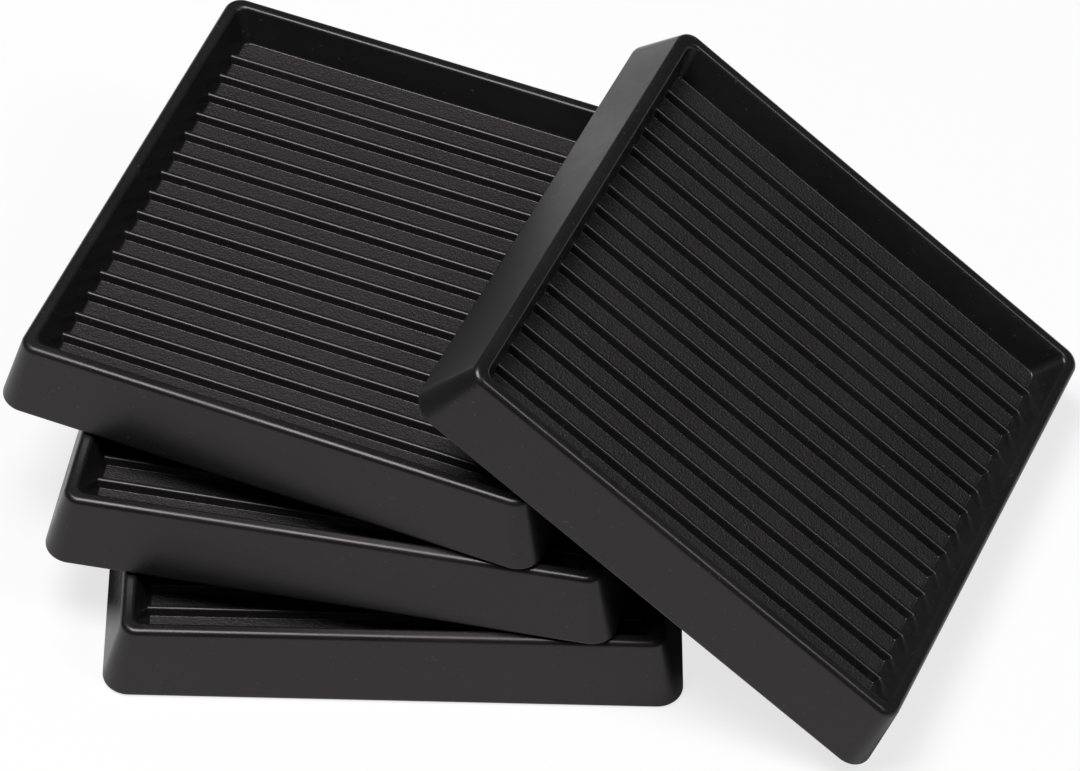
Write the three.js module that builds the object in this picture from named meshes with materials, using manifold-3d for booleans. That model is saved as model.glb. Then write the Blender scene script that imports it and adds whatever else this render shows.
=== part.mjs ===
// A set of four square rubber furniture cups: three stacked with a twist, one leaning on the stack.
// Millimetres, +Z up. The origin is the middle of the lowest cup's underside.
// Each cup is one moulding: a sloping wall, a rounded rim and a thick floor with parallel ribs across it.

import * as THREE from "three";
import { mergeVertices } from "three/addons/utils/BufferGeometryUtils.js";
import Module from "manifold-3d";

// Outside of a cup
const RIM_WIDTH = 76.2; // across the outside of the rim
const CUP_HEIGHT = 10.7;
const WALL_FLARE = 2.5; // how far the foot of each wall stands outside the rim
const FOOT_CORNER = 3.8; // corner radius in plan at the foot
const RIM_CORNER = 2.6; // corner radius in plan at the rim
const FOOT_EDGE = 0.4; // rounding between the wall and the underside
const RIM_OUTER_EDGE = 0.7; // rounding on the outside of the rim

// Inside of a cup
const RIM_WALL = 2.1; // wall thickness at the rim
const INNER_DRAFT = 1.6; // how far each inner wall leans in on its way down
const FLOOR_THICKNESS = 5.5;
const RIM_INNER_EDGE = 0.6; // rounding on the inside of the rim
const FLOOR_FILLET = 0.5; // rounding between the inner wall and the floor
const FLOOR_CORNER = 1; // corner radius in plan at the floor

// Ribs
const RIB_PITCH = 4.28;
const RIB_FOOT_WIDTH = 1.5;
const RIB_TOP_WIDTH = 0.9;
const RIB_HEIGHT = 1.25;
const RIB_CROWN = 0.35; // rounding of each upper edge of a rib
const RIB_EMBED = 0.6; // how far a rib runs into the floor and the walls

// How the four cups lie
const SEAT_GAP = 0.3; // clearance between cups that rest on one another
const MIDDLE_PLACE = { x: -2.8, y: 7.7, turn: -9.7 };
const TOP_PLACE = { x: -4.4, y: 16.8, turn: -21.1 };
const LEAN_TILT = 31; // slope of the leaning cup, degrees
const LEAN_TURN = -2.9; // its turn in the plane of its own underside, degrees
const LEAN_ALONG = 2; // its offset along the rim that it leans on

// How finely round stretches are cut
const CORNER_STEPS = 6;
const EDGE_STEPS = 3;

const RUBBER = { color: 0x383637, roughness: 0.55, metalness: 0 };

const RIM_HALF = RIM_WIDTH / 2;
const FOOT_HALF = RIM_HALF + WALL_FLARE;
const RECESS_HALF = RIM_HALF - RIM_WALL;
const FLOOR_HALF = RECESS_HALF - INNER_DRAFT;
const RECESS_CORNER = Math.max(RIM_CORNER - RIM_WALL, 0) + FLOOR_CORNER;
const RIB_COUNT = Math.floor((2 * FLOOR_HALF) / RIB_PITCH) - 1; // a strip stays bare along each wall
const STACK_STEP = CUP_HEIGHT + SEAT_GAP;

const wasm = await Module();
wasm.setup();

// A closed geometry as a solid that can be joined and cut.
function solidFrom(geometry) {
  const bare = geometry.clone();
  bare.deleteAttribute("normal");
  bare.deleteAttribute("uv");
  const merged = mergeVertices(bare);
  return new wasm.Manifold(
    new wasm.Mesh({
      numProp: 3,
      vertProperties: merged.attributes.position.array,
      triVerts: new Uint32Array(merged.index.array),
    }),
  );
}

// A solid back as a geometry for drawing.
function geometryFrom(solid) {
  const mesh = solid.getMesh();
  const geometry = new THREE.BufferGeometry();
  const position = new THREE.BufferAttribute(mesh.vertProperties, mesh.numProp);
  geometry.setAttribute("position", position);
  geometry.setIndex(new THREE.BufferAttribute(mesh.triVerts, 1));
  geometry.computeVertexNormals();
  return geometry;
}

// Points of a quarter round between two directions, from the centre and radius of its section.
function edgeArc(centre, radius, startAngle, endAngle) {
  const arc = new THREE.EllipseCurve(
    centre.x, centre.y, radius, radius, startAngle, endAngle, endAngle < startAngle,
  );
  return arc.getPoints(EDGE_STEPS);
}

// A square with round corners, as points in order round it.
function squareOutline(half, corner) {
  const flat = half - corner;
  const points = [];
  for (let quarter = 0; quarter < 4; quarter++) {
    for (let step = 0; step <= CORNER_STEPS; step++) {
      const angle = (quarter + step / CORNER_STEPS) * (Math.PI / 2);
      const middle = (quarter + 0.5) * (Math.PI / 2);
      const centreX = Math.sign(Math.cos(middle)) * flat;
      const centreY = Math.sign(Math.sin(middle)) * flat;
      points.push(new THREE.Vector2(centreX + corner * Math.cos(angle), centreY + corner * Math.sin(angle)));
    }
  }
  return points;
}

// The half section of a cup, from the middle of the underside round to the middle of the floor.
// Each point has its distance from the middle plane (x), its height (y) and its corner radius in plan.
function cupSection() {
  const wallLean = Math.atan2(WALL_FLARE, CUP_HEIGHT);
  const innerLean = Math.atan2(INNER_DRAFT, CUP_HEIGHT - FLOOR_THICKNESS);
  const foot = edgeArc({ x: FOOT_HALF - FOOT_EDGE, y: FOOT_EDGE }, FOOT_EDGE, -Math.PI / 2, wallLean);
  const rimOutside = edgeArc(
    { x: RIM_HALF - RIM_OUTER_EDGE, y: CUP_HEIGHT - RIM_OUTER_EDGE }, RIM_OUTER_EDGE, wallLean, Math.PI / 2,
  );
  const rimInside = edgeArc(
    { x: RECESS_HALF + RIM_INNER_EDGE, y: CUP_HEIGHT - RIM_INNER_EDGE }, RIM_INNER_EDGE,
    Math.PI / 2, Math.PI - innerLean,
  );
  const floorRound = edgeArc(
    { x: FLOOR_HALF - FLOOR_FILLET, y: FLOOR_THICKNESS + FLOOR_FILLET }, FLOOR_FILLET,
    -innerLean, -Math.PI / 2,
  );
  const cornerAt = (point, low, high) =>
    low + ((high - low) * Math.min(Math.max(point.y, 0), CUP_HEIGHT)) / CUP_HEIGHT;
  const outside = [...foot, ...rimOutside].map((point) => {
    const inset = Math.max(0, FOOT_HALF - (WALL_FLARE * point.y) / CUP_HEIGHT - point.x);
    return { x: point.x, y: point.y, corner: cornerAt(point, FOOT_CORNER, RIM_CORNER) - inset };
  });
  const inside = [...rimInside, ...floorRound].map((point) => {
    return { x: point.x, y: point.y, corner: cornerAt(point, FLOOR_CORNER, RECESS_CORNER) };
  });
  return [...outside, ...inside];
}

// The cup without its ribs: one outline for each point of the section, joined into a closed skin.
function shellGeometry() {
  const section = cupSection();
  const around = 4 * (CORNER_STEPS + 1);
  const positions = [];
  const faces = [];
  for (const { x, y, corner } of section) {
    squareOutline(x, corner).forEach((point) => positions.push(point.x, point.y, y));
  }
  for (let ring = 0; ring + 1 < section.length; ring++) {
    for (let k = 0; k < around; k++) {
      const here = ring * around + k;
      const next = ring * around + ((k + 1) % around);
      faces.push(here, next, next + around, here, next + around, here + around);
    }
  }
  const last = (section.length - 1) * around;
  for (let k = 1; k + 1 < around; k++) {
    faces.push(0, k + 1, k);
    faces.push(last, last + k, last + k + 1);
  }
  const geometry = new THREE.BufferGeometry();
  geometry.setAttribute("position", new THREE.Float32BufferAttribute(positions, 3));
  geometry.setIndex(faces);
  return geometry;
}

// One rib, along X across the floor, with leaning sides, round upper edges and its foot in the floor.
function ribGeometry() {
  const foot = RIB_FOOT_WIDTH / 2;
  const crown = RIB_TOP_WIDTH / 2 - RIB_CROWN;
  const outline = new THREE.Shape();
  outline.moveTo(-foot, -RIB_EMBED);
  outline.lineTo(foot, -RIB_EMBED);
  outline.lineTo(foot, 0);
  outline.absarc(crown, RIB_HEIGHT - RIB_CROWN, RIB_CROWN, 0, Math.PI / 2, false);
  outline.absarc(-crown, RIB_HEIGHT - RIB_CROWN, RIB_CROWN, Math.PI / 2, Math.PI, false);
  outline.lineTo(-foot, 0);
  outline.closePath();
  const length = 2 * (FLOOR_HALF + RIB_EMBED);
  const geometry = new THREE.ExtrudeGeometry(outline, {
    depth: length,
    steps: 1,
    bevelEnabled: false,
    curveSegments: EDGE_STEPS,
  });
  geometry.translate(0, 0, -length / 2);
  geometry.rotateX(Math.PI / 2);
  geometry.rotateZ(Math.PI / 2);
  return geometry;
}

// A whole cup: the shell with its row of ribs, centred on the floor.
function cupGeometry() {
  const rib = ribGeometry();
  let cup = solidFrom(shellGeometry());
  for (let k = 0; k < RIB_COUNT; k++) {
    const across = (k - (RIB_COUNT - 1) / 2) * RIB_PITCH;
    cup = cup.add(solidFrom(rib.clone().translate(0, across, FLOOR_THICKNESS)));
  }
  return geometryFrom(cup);
}

function makeCup(name, geometry) {
  const cup = new THREE.Mesh(geometry, new THREE.MeshStandardMaterial(RUBBER));
  cup.name = name;
  return cup;
}

// How far down its own slope the leaning cup's middle lies from where it crosses the rim,
// so that its lowest corner just meets the surface that the stack stands on.
function leanSlide(contactHeight, tilt, turn) {
  const reach = (FOOT_HALF - FOOT_CORNER) * (Math.cos(turn) + Math.abs(Math.sin(turn)))
    + FOOT_CORNER - FOOT_EDGE;
  const drop = contactHeight - FOOT_EDGE * (1 - Math.cos(tilt));
  return drop / Math.sin(tilt) - reach;
}

// Turns the cup to lie with its underside on the rim's outer edge and one corner on the surface.
function leanOnRim(cup) {
  const tilt = THREE.MathUtils.degToRad(LEAN_TILT);
  const turn = THREE.MathUtils.degToRad(LEAN_TURN);
  const standOff = RIM_OUTER_EDGE + SEAT_GAP;
  const contactX = RIM_HALF - RIM_OUTER_EDGE + standOff * Math.sin(tilt);
  const contactZ = CUP_HEIGHT - RIM_OUTER_EDGE + standOff * Math.cos(tilt);
  const slide = leanSlide(2 * STACK_STEP + contactZ, tilt, turn);
  const slope = new THREE.Group();
  slope.position.set(contactX + slide * Math.cos(tilt), LEAN_ALONG, contactZ - slide * Math.sin(tilt));
  slope.rotation.y = tilt;
  cup.rotation.z = turn;
  slope.add(cup);
  return slope;
}

// A place in the stack: level 0 stands on the surface, and each level above rests on a rim.
function stackPlace(level, place) {
  const group = new THREE.Group();
  group.position.set(place.x, place.y, level * STACK_STEP);
  group.rotation.z = THREE.MathUtils.degToRad(place.turn);
  return group;
}

const cupShape = cupGeometry();
const cupSet = new THREE.Group();
cupSet.add(makeCup("cup_bottom", cupShape));

const middle = stackPlace(1, MIDDLE_PLACE);
middle.add(makeCup("cup_middle", cupShape));
cupSet.add(middle);

const top = stackPlace(2, TOP_PLACE);
top.add(makeCup("cup_top", cupShape));
top.add(leanOnRim(makeCup("cup_leaning", cupShape)));
cupSet.add(top);

export default cupSet;
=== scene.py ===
"""Looks of a set of square rubber furniture cups: three stacked with a twist and one leaning on them.

Each cup is one moulding. Its skin is worked out with numpy as a section carried round a square
outline with round corners. Lengths are in metres, +Z is up, and the origin is the middle of the
lowest cup's underside.
"""

import logging
import math
from collections.abc import Sequence
from dataclasses import dataclass, field
from enum import Enum

import bpy
import numpy as np
from bpy.types import Material, Mesh, NodeSocket, Object
from mathutils import Matrix, Vector

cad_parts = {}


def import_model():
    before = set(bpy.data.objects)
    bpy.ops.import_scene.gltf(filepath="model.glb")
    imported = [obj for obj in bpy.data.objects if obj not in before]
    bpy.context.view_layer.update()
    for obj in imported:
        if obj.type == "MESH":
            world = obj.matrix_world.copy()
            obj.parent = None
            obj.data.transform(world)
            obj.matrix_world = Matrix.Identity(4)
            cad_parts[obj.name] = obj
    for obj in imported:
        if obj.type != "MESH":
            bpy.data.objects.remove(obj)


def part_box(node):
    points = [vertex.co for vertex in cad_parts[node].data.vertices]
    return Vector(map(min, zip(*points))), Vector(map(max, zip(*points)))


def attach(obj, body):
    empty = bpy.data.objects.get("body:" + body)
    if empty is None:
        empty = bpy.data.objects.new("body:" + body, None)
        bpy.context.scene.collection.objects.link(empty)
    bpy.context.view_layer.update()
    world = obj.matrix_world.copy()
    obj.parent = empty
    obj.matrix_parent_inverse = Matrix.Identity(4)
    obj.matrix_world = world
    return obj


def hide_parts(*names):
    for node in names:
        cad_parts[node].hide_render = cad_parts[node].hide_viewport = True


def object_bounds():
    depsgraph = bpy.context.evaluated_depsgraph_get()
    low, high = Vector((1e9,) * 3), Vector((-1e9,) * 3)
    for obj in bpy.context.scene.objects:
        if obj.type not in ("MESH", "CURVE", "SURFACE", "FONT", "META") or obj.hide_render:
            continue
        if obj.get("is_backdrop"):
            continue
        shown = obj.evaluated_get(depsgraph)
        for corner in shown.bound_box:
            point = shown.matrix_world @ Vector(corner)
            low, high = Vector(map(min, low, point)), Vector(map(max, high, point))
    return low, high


LOG = logging.getLogger("cups")
MM = 0.001
GRAIN_ATTRIBUTE = "grain"


# --------------------------------------------------------------------------- shader expressions


@dataclass(frozen=True)
class Value:
    """A node's output socket that can be used in arithmetic; each operation adds a Math node."""

    graph: "Graph"
    socket: NodeSocket

    def _math(self, operation: str, *operands: "Value | float") -> "Value":
        """One Math node on these operands."""
        return self.graph.node("ShaderNodeMath", {"operation": operation}, dict(enumerate(operands)))

    def __add__(self, other: "Value | float") -> "Value":
        """Sum."""
        return self._math("ADD", self, other)

    __radd__ = __add__

    def __sub__(self, other: "Value | float") -> "Value":
        """Difference."""
        return self._math("SUBTRACT", self, other)

    def __rsub__(self, other: "Value | float") -> "Value":
        """Difference the other way round."""
        return self._math("SUBTRACT", other, self)

    def __mul__(self, other: "Value | float") -> "Value":
        """Product."""
        return self._math("MULTIPLY", self, other)

    __rmul__ = __mul__

    def above(self, edge: float, width: float) -> "Value":
        """A smooth step from 0 to 1 over a width that is centred on an edge.

        Args:
            edge: the value at which the result is a half.
            width: the range over which it rises.

        Returns:
            The step.
        """
        low, high = edge - width / 2, edge + width / 2
        return self.graph.node(
            "ShaderNodeMapRange",
            {"interpolation_type": "SMOOTHSTEP"},
            {"Value": self, "From Min": low, "From Max": high},
        )


class Graph:
    """The node tree of one material, emptied and ready to be filled."""

    def __init__(self, name: str) -> None:
        """Makes the material.

        Args:
            name: the material's name.
        """
        self.material: Material = bpy.data.materials.new(name)
        self.material.use_nodes = True
        self.tree = self.material.node_tree
        self.tree.nodes.clear()

    def node(
        self,
        kind: str,
        settings: dict[str, object] | None = None,
        inputs: dict[str | int, object] | None = None,
        output: str | int = 0,
    ) -> Value:
        """Adds a node.

        Args:
            kind: the node's type.
            settings: its properties, which are set first.
            inputs: the values or links of its sockets, by name or number.
            output: which of its outputs is wanted.

        Returns:
            The wanted output.
        """
        made = self.tree.nodes.new(kind)
        for name, value in (settings or {}).items():
            setattr(made, name, value)
        for name, value in (inputs or {}).items():
            if isinstance(value, Value):
                self.tree.links.new(value.socket, made.inputs[name])
            else:
                made.inputs[name].default_value = value
        return Value(self, made.outputs[output])

    def place(self) -> Value:
        """Object coordinates, in metres."""
        return self.node("ShaderNodeTexCoord", output="Object")

    def attribute(self, name: str) -> Value:
        """A number that the mesh holds at each point."""
        return self.node("ShaderNodeAttribute", {"attribute_name": name}, output="Fac")

    def noise(self, grain: float, detail: float = 2.0, roughness: float = 0.5) -> Value:
        """Noise from 0 to 1.

        Args:
            grain: the size of its largest features, in metres.
            detail: how many finer layers it has.
            roughness: how strong the finer layers are.

        Returns:
            The noise.
        """
        inputs = {"Vector": self.place(), "Scale": 1 / grain, "Detail": detail, "Roughness": roughness}
        return self.node("ShaderNodeTexNoise", None, inputs)

    def mix(self, share: Value | float, low: object, high: object) -> Value:
        """A colour between two.

        Args:
            share: 0 gives the first colour and 1 the second.
            low: the first colour.
            high: the second colour.

        Returns:
            The mixed colour.
        """
        made = self.tree.nodes.new("ShaderNodeMix")
        made.data_type = "RGBA"
        for name, value in (("Factor", share), ("A", low), ("B", high)):
            socket = next(s for s in made.inputs if s.name == name and s.enabled)
            if isinstance(value, Value):
                self.tree.links.new(value.socket, socket)
            else:
                socket.default_value = value
        return Value(self, next(s for s in made.outputs if s.enabled))

    def finish(self, shader: Value) -> Material:
        """Shows a shader on the surface.

        Args:
            shader: the shader.

        Returns:
            The material.
        """
        output = self.tree.nodes.new("ShaderNodeOutputMaterial")
        self.tree.links.new(shader.socket, output.inputs["Surface"])
        return self.material


def grey(level: float, warmth: float = 0.0) -> tuple[float, float, float, float]:
    """A linear colour near grey; warmth above 0 lowers green a little against red and blue."""
    return (level, level * (1 - warmth), level * (1 - warmth / 2), 1.0)


# --------------------------------------------------------------------------- finishes


@dataclass(frozen=True)
class MouldedRubber:
    """Satin black moulded rubber: smooth walls and ribs, and a floor with a fine spark-eroded grain."""

    base: float = 0.0068  # how light the rubber is
    bloom: float = 0.0100  # how light it is where a faint bloom has come to the surface
    dust: float = 0.05  # how light its specks of dust are
    warmth: float = 0.035
    smooth_roughness: float = 0.31
    grained_roughness: float = 0.58
    specular: float = 0.39
    gloss_tint: tuple[float, float, float, float] = (1.0, 0.93, 0.96, 1.0)
    bloom_size: float = 14 * MM
    mottle_size: float = 1.6 * MM
    grain_size: float = 0.36 * MM
    speck_size: float = 0.55 * MM
    speck_threshold: float = 0.74
    skin_size: float = 0.9 * MM
    grain_depth: float = 0.22 * MM
    skin_depth: float = 0.006 * MM
    bloom_share: float = 0.6  # how much of the lightening the bloom gives; the mottle gives the rest
    mottle_share: float = 0.4
    dust_share: float = 0.5  # how much a speck covers
    mottle_gloss: float = 0.10  # how far the mottle varies the roughness
    bloom_gloss: float = 0.05  # how far the bloom does

    def material(self) -> Material:
        """The finish as a node material."""
        graph = Graph("black_rubber_finish")
        grained = graph.attribute(GRAIN_ATTRIBUTE)
        bloom = graph.noise(self.bloom_size, 3.0, 0.55).above(0.52, 0.3)
        mottle = graph.noise(self.mottle_size, 3.0, 0.6)
        specks = graph.noise(self.speck_size, 1.0, 0.4).above(self.speck_threshold, 0.05)
        colour = graph.mix(
            bloom * self.bloom_share + mottle * self.mottle_share,
            grey(self.base, self.warmth),
            grey(self.bloom, self.warmth),
        )
        colour = graph.mix(specks * self.dust_share, colour, grey(self.dust, self.warmth))
        pits = graph.noise(self.grain_size, 2.0, 0.62)
        skin = graph.noise(self.skin_size, 2.0, 0.5)
        rough = self.smooth_roughness + grained * (self.grained_roughness - self.smooth_roughness)
        rough = rough + (mottle - 0.5) * self.mottle_gloss + (bloom - 0.5) * self.bloom_gloss
        height = pits * grained * self.grain_depth + skin * self.skin_depth
        normal = graph.node(
            "ShaderNodeBump", None, {"Strength": 1.0, "Distance": 1.0, "Height": height}
        )
        shader = graph.node(
            "ShaderNodeBsdfPrincipled",
            None,
            {
                "Base Color": colour,
                "Roughness": rough,
                "Specular IOR Level": self.specular,
                "Specular Tint": self.gloss_tint,
                "Normal": normal,
            },
        )
        return graph.finish(shader)


@dataclass(frozen=True)
class StudioFloor:
    """A plain white ground that shows white to the camera and keeps the soft shadow of what stands on it."""

    reflectance: float = 0.78
    camera_lift: float = 0.75  # share of plain white in what the camera sees
    mottle: float = 0.015
    mottle_size: float = 60 * MM

    def material(self) -> Material:
        """The finish as a node material."""
        graph = Graph("studio_floor_finish")
        cloud = graph.noise(self.mottle_size)
        dark, light = self.reflectance - self.mottle, self.reflectance + self.mottle
        colour = graph.mix(cloud, grey(dark), grey(light))
        matt = graph.node("ShaderNodeBsdfDiffuse", None, {"Color": colour})
        white = graph.node("ShaderNodeEmission", None, {"Color": grey(1.0), "Strength": 1.0})
        seen = graph.node("ShaderNodeLightPath", output="Is Camera Ray")
        shown = graph.node(
            "ShaderNodeMixShader", None, {0: seen * self.camera_lift, 1: matt, 2: white}
        )
        return graph.finish(shown)


# --------------------------------------------------------------------------- shapes


def arc(centre: tuple[float, float], radius: float, start: float, end: float, steps: int) -> np.ndarray:
    """Points on a circle: centre plus radius times (cos, sin) of evenly spaced angles.

    Args:
        centre: the centre's across and up.
        radius: the radius.
        start: the first angle, in radians.
        end: the last angle.
        steps: how many stretches it is cut into.

    Returns:
        The points, one a row.
    """
    angle = np.linspace(start, end, steps + 1)
    return np.stack([centre[0] + radius * np.cos(angle), centre[1] + radius * np.sin(angle)], axis=1)


def between(first: np.ndarray, last: np.ndarray, margin: float) -> np.ndarray:
    """Two points just inside a straight stretch, which keep the shading of its round ends off it."""
    along = (last - first) / np.linalg.norm(last - first)
    return np.stack([first + along * margin, last - along * margin])


@dataclass(frozen=True)
class Rib:
    """The cross-section of a floor rib: a fillet at its foot, steep sides and a round crown."""

    pitch: float = 4.28 * MM
    foot_half: float = 0.75 * MM
    height: float = 1.25 * MM
    crown: float = 0.42 * MM
    side_lean: float = math.atan2(0.30, 0.90)
    foot_fillet: float = 0.18 * MM
    end_fillet: float = 0.22 * MM  # where the crown meets the recess wall
    margin: float = 0.12 * MM
    fillet_steps: int = 3
    crown_steps: int = 6

    def half_profile(self) -> np.ndarray:
        """One half of the section, from the bare floor up to the middle of the crown.

        The crown's arc and the foot's fillet both touch one straight side, which leans by
        side_lean and would meet the floor at foot_half.

        Returns:
            Points of (distance from the middle, height), one a row.
        """
        lean, round_up = self.side_lean, self.crown
        level = self.height - round_up
        middle = self.foot_half - round_up / math.cos(lean) - level * math.tan(lean)
        crown = arc((middle, level), round_up, lean, math.pi / 2, self.crown_steps)
        reach = self.foot_half + self.foot_fillet * (1 - math.sin(lean)) / math.cos(lean)
        foot = arc(
            (reach, self.foot_fillet), self.foot_fillet, -math.pi / 2, -math.pi + lean, self.fillet_steps
        )
        start = np.array([[foot[0, 0] + self.margin, 0.0]])
        return np.concatenate([start, foot, crown, [[0.0, self.height]]])

    def rows(self, half: float) -> tuple[np.ndarray, np.ndarray]:
        """The profile repeated across a floor.

        Args:
            half: half the floor's width.

        Returns:
            The rows' places across the floor in rising order, and their heights.
        """
        count = math.floor(2 * half / self.pitch) - 1
        side = self.half_profile()
        one = np.concatenate([side * [-1, 1], side[-2::-1]])
        middles = (np.arange(count) - (count - 1) / 2) * self.pitch
        across = (middles[:, None] + one[None, :, 0]).ravel()
        return across, np.tile(one[:, 1], count)


@dataclass(frozen=True)
class CupShape:
    """Sizes of a cup, and the skin that they give."""

    foot_half: float
    height: float
    wall_flare: float = 2.5 * MM
    foot_corner: float = 3.8 * MM
    rim_corner: float = 2.6 * MM
    foot_edge: float = 0.4 * MM
    rim_outer_edge: float = 0.95 * MM
    rim_wall: float = 2.1 * MM
    inner_draft: float = 1.6 * MM
    floor: float = 5.5 * MM
    rim_inner_edge: float = 0.6 * MM
    floor_fillet: float = 0.5 * MM
    floor_corner: float = 1.0 * MM
    rib: Rib = field(default_factory=Rib)
    margin: float = 0.12 * MM
    edge_steps: int = 7
    corner_steps: int = 12
    floor_columns: int = 24
    grain_inset: float = 0.3  # how far inside the wall the grain ends, as a share of the floor's fillet
    grain_up_rib: float = 0.5  # share of a rib's foot fillet over which the grain fades

    @property
    def rim_half(self) -> float:
        """Half the width across the outside of the rim."""
        return self.foot_half - self.wall_flare

    @property
    def recess_half(self) -> float:
        """Half the width of the recess at the rim."""
        return self.rim_half - self.rim_wall

    @property
    def floor_half(self) -> float:
        """Half the width of the recess at its floor."""
        return self.recess_half - self.inner_draft

    @property
    def inner_lean(self) -> float:
        """How far the recess walls lean from upright, in radians."""
        return math.atan2(self.inner_draft, self.height - self.floor)

    def outside(self) -> np.ndarray:
        """The section's outside, from the underside up over the wall to the flat of the rim.

        Returns:
            Rows of (half width, height, corner radius in plan).
        """
        lean = math.atan2(self.wall_flare, self.height)
        low, high = self.foot_edge, self.rim_outer_edge
        foot = arc((self.foot_half - low, low), low, -math.pi / 2, lean, self.edge_steps)
        rim = arc((self.rim_half - high, self.height - high), high, lean, math.pi / 2, self.edge_steps)
        line = np.concatenate([foot, between(foot[-1], rim[0], self.margin), rim])
        up = np.clip(line[:, 1] / self.height, 0, 1)
        inset = np.maximum(0, self.foot_half - self.wall_flare * line[:, 1] / self.height - line[:, 0])
        corner = self.foot_corner + (self.rim_corner - self.foot_corner) * up - inset
        return np.column_stack([line, corner])

    def inside(self) -> np.ndarray:
        """The section's inside, from the flat of the rim down the recess wall to the floor.

        Returns:
            Rows of (half width, height, corner radius in plan).
        """
        lean, edge, fillet = self.inner_lean, self.rim_inner_edge, self.floor_fillet
        rim = arc(
            (self.recess_half + edge, self.height - edge), edge, math.pi / 2, math.pi - lean, self.edge_steps
        )
        base = arc(
            (self.floor_half - fillet, self.floor + fillet), fillet, -lean, -math.pi / 2, self.edge_steps
        )
        line = np.concatenate([rim, between(rim[-1], base[0], self.margin), base])
        top_corner = max(self.rim_corner - self.rim_wall, 0) + self.floor_corner
        up = np.clip(line[:, 1] / self.height, 0, 1)
        return np.column_stack([line, self.floor_corner + (top_corner - self.floor_corner) * up])

    def section(self) -> np.ndarray:
        """The whole half section.

        Returns:
            Rows of (half width, height, corner radius).
        """
        outside, inside = self.outside(), self.inside()
        flat = between(outside[-1, :2], inside[0, :2], self.margin)
        corner = np.array([outside[-1, 2], inside[0, 2]])
        return np.concatenate([outside, np.column_stack([flat, corner]), inside])

    def _over_ribs(self, line: np.ndarray, lift: np.ndarray) -> tuple[np.ndarray, np.ndarray]:
        """Half widths and heights of every ring, with the floor's fillet carried over the ribs' ends.

        Where a rib meets the wall, the fillet stands on the rib, and its radius shrinks in step with
        the rib's height, from the floor's to the rib's own. Its upper end stays on the wall's slope.

        Args:
            line: the section.
            lift: the rib's height at each point of the outline.

        Returns:
            Half widths and heights, a row for each ring.
        """
        reach = np.repeat(line[:, :1], len(lift), axis=1)
        up = np.repeat(line[:, 1:2], len(lift), axis=1)
        lean = self.inner_lean
        angle = np.linspace(-lean, -math.pi / 2, self.edge_steps + 1)[:, None]
        fillet = self.floor_fillet + (self.rib.end_fillet - self.floor_fillet) * lift / self.rib.height
        shrunk = fillet - self.floor_fillet
        wall = self.floor_half + shrunk * (1 - math.cos(lean))
        wall = wall + math.tan(lean) * (lift + shrunk * (1 - math.sin(lean)))
        first = len(line) - len(angle)
        reach[first:] = wall - fillet + fillet * np.cos(angle)
        up[first:] = self.floor + lift + fillet + fillet * np.sin(angle)
        reach[first - 1] = reach[first] + self.margin * math.sin(lean)
        up[first - 1] = up[first] + self.margin * math.cos(lean)
        return reach, up

    def outline(self) -> tuple[np.ndarray, np.ndarray, np.ndarray, np.ndarray]:
        """The square outline that the section is carried round, starting at the right side's near end.

        A point at half width w and corner radius r lies at (w - r) * anchor + r * outward + (0, slide):
        anchor is the corner's sign, or the side's; outward is the unit normal; slide is a fixed place
        along a side, so that every ring meets the floor's rows at the same place.

        Returns:
            Anchors, outward normals, slides (both across X and across Y) and rib heights, one a row.
        """
        rows, lift = self.rib.rows(self.floor_half)
        straight = self.floor_half - 2 * self.floor_corner
        columns = np.linspace(-1, 1, self.floor_columns + 1)[1:-1] * straight
        turn = np.linspace(0, math.pi / 2, self.corner_steps + 1)
        parts = []
        for quarter in range(4):
            face = quarter * math.pi / 2
            out = np.array([round(math.cos(face)), round(math.sin(face))], float)
            along = np.array([-out[1], out[0]])
            places, height = (rows, lift) if quarter % 2 == 0 else (columns, np.zeros(len(columns)))
            side = np.column_stack(
                [
                    np.tile(out, (len(places), 1)),
                    np.tile(out, (len(places), 1)),
                    places[:, None] * along,
                    height,
                ]
            )
            angle = face + turn
            corner = np.column_stack(
                [
                    np.tile(out + along, (len(turn), 1)),
                    np.cos(angle),
                    np.sin(angle),
                    np.zeros((len(turn), 3)),
                ]
            )
            parts += [side, corner]
        ring = np.concatenate(parts)
        return ring[:, 0:2], ring[:, 2:4], ring[:, 4:6], ring[:, 6]

    def build(self, name: str) -> Mesh:
        """The cup's skin as one closed mesh, with its grain attribute.

        Every point of the section gives one ring, each point of it placed by the outline's rule. On
        the sides that the ribs run into, the rings of the floor's fillet are lifted by the rib's
        height and moved out along the wall's lean. The floor joins opposite points of the last ring
        row by row, and the underside does the same with the first ring.

        Args:
            name: the mesh's name.

        Returns:
            The mesh, in the cup's own frame.
        """
        anchor, outward, slide, lift = self.outline()
        line = self.section()
        reach, up = self._over_ribs(line, lift)
        radius = line[:, None, 2] * np.ones_like(reach)
        flat = (reach - radius)[..., None] * anchor + radius[..., None] * outward + slide
        rings = np.concatenate([flat, up[..., None]], axis=2)
        count = rings.shape[1]
        rows = len(self.rib.rows(self.floor_half)[0])
        last_ring, floor_start = (len(line) - 1) * count, rings.size // 3
        floor_points, floor_faces = self._deck(rings[-1], rows, last_ring, floor_start, False)
        base_start = floor_start + len(floor_points)
        base_points, base_faces = self._deck(rings[0], rows, 0, base_start, True)
        points = np.concatenate([rings.reshape(-1, 3), floor_points, base_points])
        faces = [*self._bands(len(line), count).tolist(), *floor_faces, *base_faces]
        mesh = bpy.data.meshes.new(name)
        mesh.from_pydata(points.tolist(), [], faces)
        mesh.validate()
        self._mark(mesh, points)
        mesh.polygons.foreach_set("use_smooth", np.ones(len(mesh.polygons), bool))
        return mesh

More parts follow.
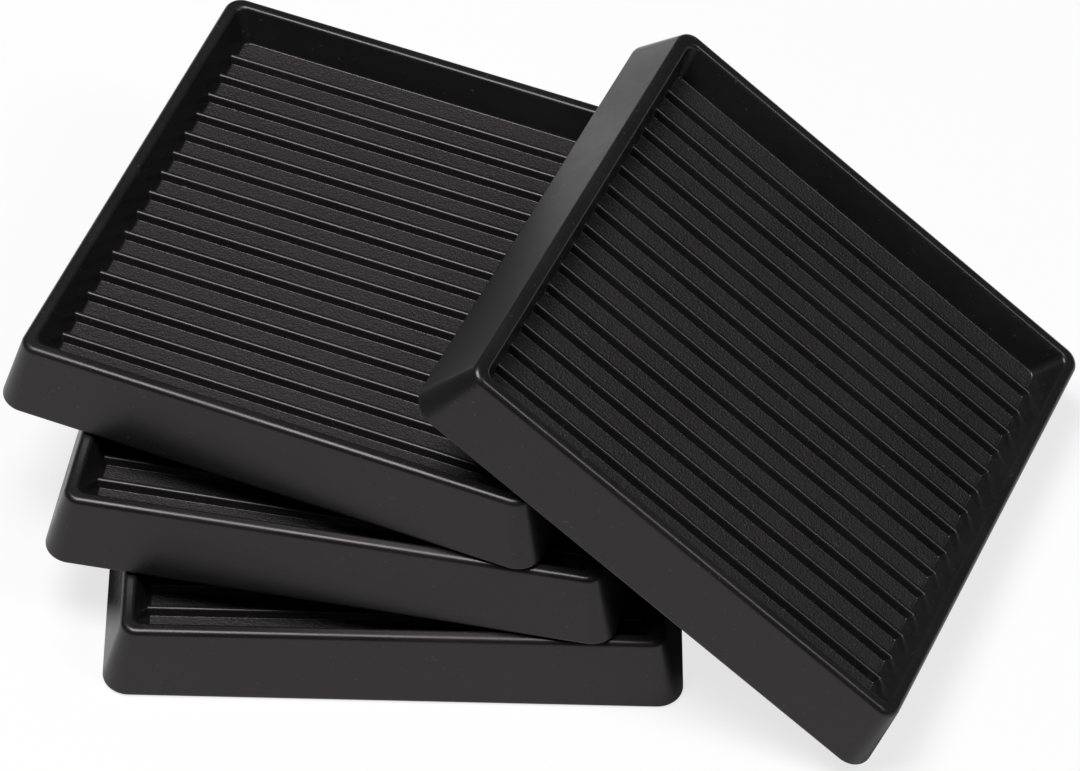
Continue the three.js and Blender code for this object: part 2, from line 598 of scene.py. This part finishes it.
    @staticmethod
    def _bands(rings: int, count: int) -> np.ndarray:
        """Quads between neighbouring rings, facing out.

        Args:
            rings: how many rings there are.
            count: how many points a ring has.

        Returns:
            The quads' corner numbers, one a row.
        """
        start = (np.arange(rings - 1) * count)[:, None]
        here = np.arange(count)[None, :]
        after = (here + 1) % count
        quads = np.stack([start + here, start + after, start + count + after, start + count + here], axis=2)
        return quads.reshape(-1, 4)

    def _deck(
        self, ring: np.ndarray, rows: int, ring_start: int, start: int, faces_down: bool
    ) -> tuple[np.ndarray, list[list[int]]]:
        """A surface that fills a ring: straight rows between its right and left sides.

        Between the right and left ends of a row, points are spaced at the near side's columns. The
        strips beyond the first and last row are flat and run to the near and far sides.

        Args:
            ring: the ring's points.
            rows: how many rows there are.
            ring_start: the number of the ring's first point.
            start: the number that the first new point gets.
            faces_down: whether the surface faces down.

        Returns:
            The new points, and the faces' corner numbers.
        """
        columns = self.floor_columns - 1
        arc_points = self.corner_steps + 1
        first = {
            "right": 0,
            "far_right": rows,
            "far": rows + arc_points,
            "far_left": rows + arc_points + columns,
            "left": rows + 2 * arc_points + columns,
            "near_left": 2 * rows + 2 * arc_points + columns,
            "near": 2 * rows + 3 * arc_points + columns,
            "near_right": 2 * rows + 3 * arc_points + 2 * columns,
        }
        right = ring_start + first["right"] + np.arange(rows)
        left = ring_start + first["left"] + np.arange(rows)[::-1]
        near = ring_start + first["near"] + np.arange(columns)
        far = ring_start + first["far"] + np.arange(columns)[::-1]
        across = ring[first["near"] : first["near"] + columns, 0]
        right_points = ring[first["right"] : first["right"] + rows]
        points = np.empty((rows, columns, 3))
        points[..., 0] = across
        points[..., 1] = right_points[:, None, 1]
        points[..., 2] = right_points[:, None, 2]
        grid = start + np.arange(rows * columns).reshape(rows, columns)
        grid = np.column_stack([left, grid, right])
        quads = np.stack([grid[:-1, :-1], grid[:-1, 1:], grid[1:, 1:], grid[1:, :-1]], axis=2)
        near_strip = np.stack([near[:-1], near[1:], grid[0, 2:-1], grid[0, 1:-2]], axis=1)
        far_strip = np.stack([grid[-1, 1:-2], grid[-1, 2:-1], far[1:], far[:-1]], axis=1)
        near_left = range(ring_start + first["near_left"], ring_start + first["near"])
        near_right = range(ring_start + first["near_right"], ring_start + len(ring))
        far_right = range(ring_start + first["far_right"], ring_start + first["far"])
        far_left = range(ring_start + first["far_left"], ring_start + first["left"])
        corners = [
            [grid[0, 0], *near_left, near[0], grid[0, 1]],
            [grid[0, -2], near[-1], *near_right, grid[0, -1]],
            [grid[-1, -2], grid[-1, -1], *far_right, far[-1]],
            [grid[-1, 0], grid[-1, 1], far[0], *far_left],
        ]
        faces = [*quads.reshape(-1, 4).tolist(), *near_strip.tolist(), *far_strip.tolist()]
        faces += [[int(k) for k in corner] for corner in corners]
        if faces_down:
            faces = [face[::-1] for face in faces]
        return points.reshape(-1, 3), faces

    def _mark(self, mesh: Mesh, points: np.ndarray) -> None:
        """Writes the grain attribute: 1 on the bare floor, falling to 0 up the ribs and the fillet.

        Args:
            mesh: the mesh.
            points: its points in the cup's frame.
        """
        edge = self.floor_half - self.grain_inset * self.floor_fillet
        inside = np.max(np.abs(points[:, :2]), axis=1) < edge
        fade = self.rib.foot_fillet * self.grain_up_rib
        low = np.clip(1 - (points[:, 2] - self.floor) / fade, 0, 1)
        grain = np.where(inside & (points[:, 2] > self.floor / 2), low, 0.0)
        mesh.attributes.new(GRAIN_ATTRIBUTE, "FLOAT", "POINT").data.foreach_set("value", grain)


# --------------------------------------------------------------------------- the pieces


class Level(Enum):
    """Where a cup lies: its name, and its turn about the upright axis in degrees."""

    BOTTOM = ("bottom", 0.0)
    MIDDLE = ("middle", -9.7)
    TOP = ("top", -21.1)
    LEANING = ("leaning", -21.1)


@dataclass
class Cup:
    """One cup of the set, placed where the frame has it."""

    level: Level
    shape: CupShape
    tilt: float = 31.0  # slope of the leaning cup, in degrees
    lean_turn: float = -2.9  # its turn in its own plane, in degrees

    @property
    def body(self) -> str:
        """The body that the cup rides on."""
        return self.level.value[0]

    @property
    def node(self) -> str:
        """The solid that the cup stands for."""
        return f"cup_{self.body}"

    def turn(self) -> Matrix:
        """How the cup is turned from its own frame into the set's."""
        about_up = Matrix.Rotation(math.radians(self.level.value[1]), 4, "Z")
        if self.level is not Level.LEANING:
            return about_up
        slope = Matrix.Rotation(math.radians(self.tilt), 4, "Y")
        return about_up @ slope @ Matrix.Rotation(math.radians(self.lean_turn), 4, "Z")

    def build(self, finish: Material) -> Object:
        """Makes the cup, with the middle of its box where the frame has it.

        Args:
            finish: the material of the whole cup.

        Returns:
            The piece.
        """
        mesh = self.shape.build(f"{self.node}_skin")
        mesh.transform(self.turn())
        points = np.empty(len(mesh.vertices) * 3)
        mesh.vertices.foreach_get("co", points)
        points = points.reshape(-1, 3)
        low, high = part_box(self.node)
        shift = (low + high) / 2 - Vector((points.min(0) + points.max(0)) / 2)
        mesh.transform(Matrix.Translation(shift))
        mesh.materials.append(finish)
        piece = bpy.data.objects.new(f"{self.node}_moulding", mesh)
        bpy.context.scene.collection.objects.link(piece)
        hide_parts(self.node)
        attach(piece, self.body)
        return piece


# --------------------------------------------------------------------------- the studio


@dataclass(frozen=True)
class Camera:
    """A long lens that looks down on the set from the front."""

    heading: float = 2.29  # degrees from +Y towards +X
    dip: float = 48.3  # degrees below the horizon
    roll: float = 3.1  # degrees, turning the picture clockwise
    distance: float = 0.795
    lens: float = 185.4
    aim_side: float = -1.2 * MM  # from the middle of the set's box to the point looked at
    aim_depth: float = -2.6 * MM
    aim_height: float = -10.1 * MM

    def build(self, low: Vector, high: Vector) -> None:
        """Makes the camera and makes it the scene's.

        Args:
            low: the set's lowest corner.
            high: its highest corner.
        """
        data = bpy.data.cameras.new("camera")
        data.lens = self.lens
        data.clip_start, data.clip_end = self.distance / 50, self.distance * 50
        camera = bpy.data.objects.new("camera", data)
        turn = (
            Matrix.Rotation(-math.radians(self.heading), 4, "Z")
            @ Matrix.Rotation(math.radians(90 - self.dip), 4, "X")
            @ Matrix.Rotation(math.radians(self.roll), 4, "Z")
        )
        aim = (low + high) / 2 + Vector((self.aim_side, self.aim_depth, self.aim_height))
        back = turn @ Vector((0, 0, self.distance))
        camera.matrix_world = Matrix.Translation(aim + back) @ turn
        bpy.context.scene.collection.objects.link(camera)
        bpy.context.scene.camera = camera


@dataclass(frozen=True)
class Lamp:
    """A square soft lamp that points at the set."""

    name: str
    azimuth: float  # degrees; 0 is in front of the set and 90 to its right
    elevation: float
    distance: float
    size: float
    power: float

    def build(self, target: Vector) -> None:
        """Makes the lamp.

        Args:
            target: the point it shines at.
        """
        data = bpy.data.lights.new(self.name, "AREA")
        data.shape = "SQUARE"
        data.size = self.size
        data.energy = self.power
        azimuth, elevation = math.radians(self.azimuth), math.radians(self.elevation)
        out = Vector(
            (
                math.sin(azimuth) * math.cos(elevation),
                -math.cos(azimuth) * math.cos(elevation),
                math.sin(elevation),
            )
        )
        lamp = bpy.data.objects.new(self.name, data)
        lamp.location = target + out * self.distance
        lamp.rotation_mode = "QUATERNION"
        lamp.rotation_quaternion = out.to_track_quat("Z", "Y")
        bpy.context.scene.collection.objects.link(lamp)


@dataclass(frozen=True)
class Studio:
    """A pale floor, soft lamps and a plain surround."""

    floor_half: float = 3.0
    floor_gap: float = 0.05 * MM
    surround: float = 0.08
    lamps: Sequence[Lamp] = (
        Lamp("key_lamp", -80, 76, 0.9, 0.46, 9.4),
        Lamp("right_lamp", 69, 50, 0.9, 0.26, 1.7),
    )

    def build(self, low: Vector, high: Vector) -> None:
        """Makes the floor, the lamps and the world.

        Args:
            low: the set's lowest corner.
            high: its highest corner.
        """
        half = self.floor_half
        mesh = bpy.data.meshes.new("floor")
        corners = np.array([[-half, -half], [half, -half], [half, half], [-half, half]])
        points = np.column_stack([corners, np.full(4, low.z - self.floor_gap)])
        mesh.from_pydata(points.tolist(), [], [[0, 1, 2, 3]])
        mesh.materials.append(StudioFloor().material())
        floor = bpy.data.objects.new("floor", mesh)
        bpy.context.scene.collection.objects.link(floor)
        floor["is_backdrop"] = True
        for lamp in self.lamps:
            lamp.build((low + high) / 2)
        self._surround()

    def _surround(self) -> None:
        """A world that lights the set at its own level and is white to the camera alone."""
        world = bpy.data.worlds.new("surround")
        world.use_nodes = True
        bpy.context.scene.world = world
        nodes, links = world.node_tree.nodes, world.node_tree.links
        nodes.clear()
        paths = nodes.new("ShaderNodeLightPath")
        lit = nodes.new("ShaderNodeMath")
        lit.operation = "MAXIMUM"
        lit.inputs[1].default_value = self.surround
        links.new(paths.outputs["Is Camera Ray"], lit.inputs[0])
        background = nodes.new("ShaderNodeBackground")
        background.inputs["Color"].default_value = grey(1.0)
        links.new(lit.outputs[0], background.inputs["Strength"])
        output = nodes.new("ShaderNodeOutputWorld")
        links.new(background.outputs[0], output.inputs["Surface"])


def main() -> None:
    """Builds the cups in order, then the studio."""
    logging.basicConfig(level=logging.INFO, format="%(message)s")
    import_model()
    solid_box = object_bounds()
    low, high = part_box(f"cup_{Level.BOTTOM.value[0]}")
    shape = CupShape(foot_half=(high.x - low.x) / 2, height=high.z - low.z)
    finish = MouldedRubber().material()
    for level in Level:
        piece = Cup(level, shape).build(finish)
        LOG.info("%s: %d faces", piece.name, len(piece.data.polygons))
    Studio().build(*solid_box)
    Camera().build(*solid_box)
    bpy.context.scene.view_settings.view_transform = "Standard"


if __name__ == "__main__":
    main()
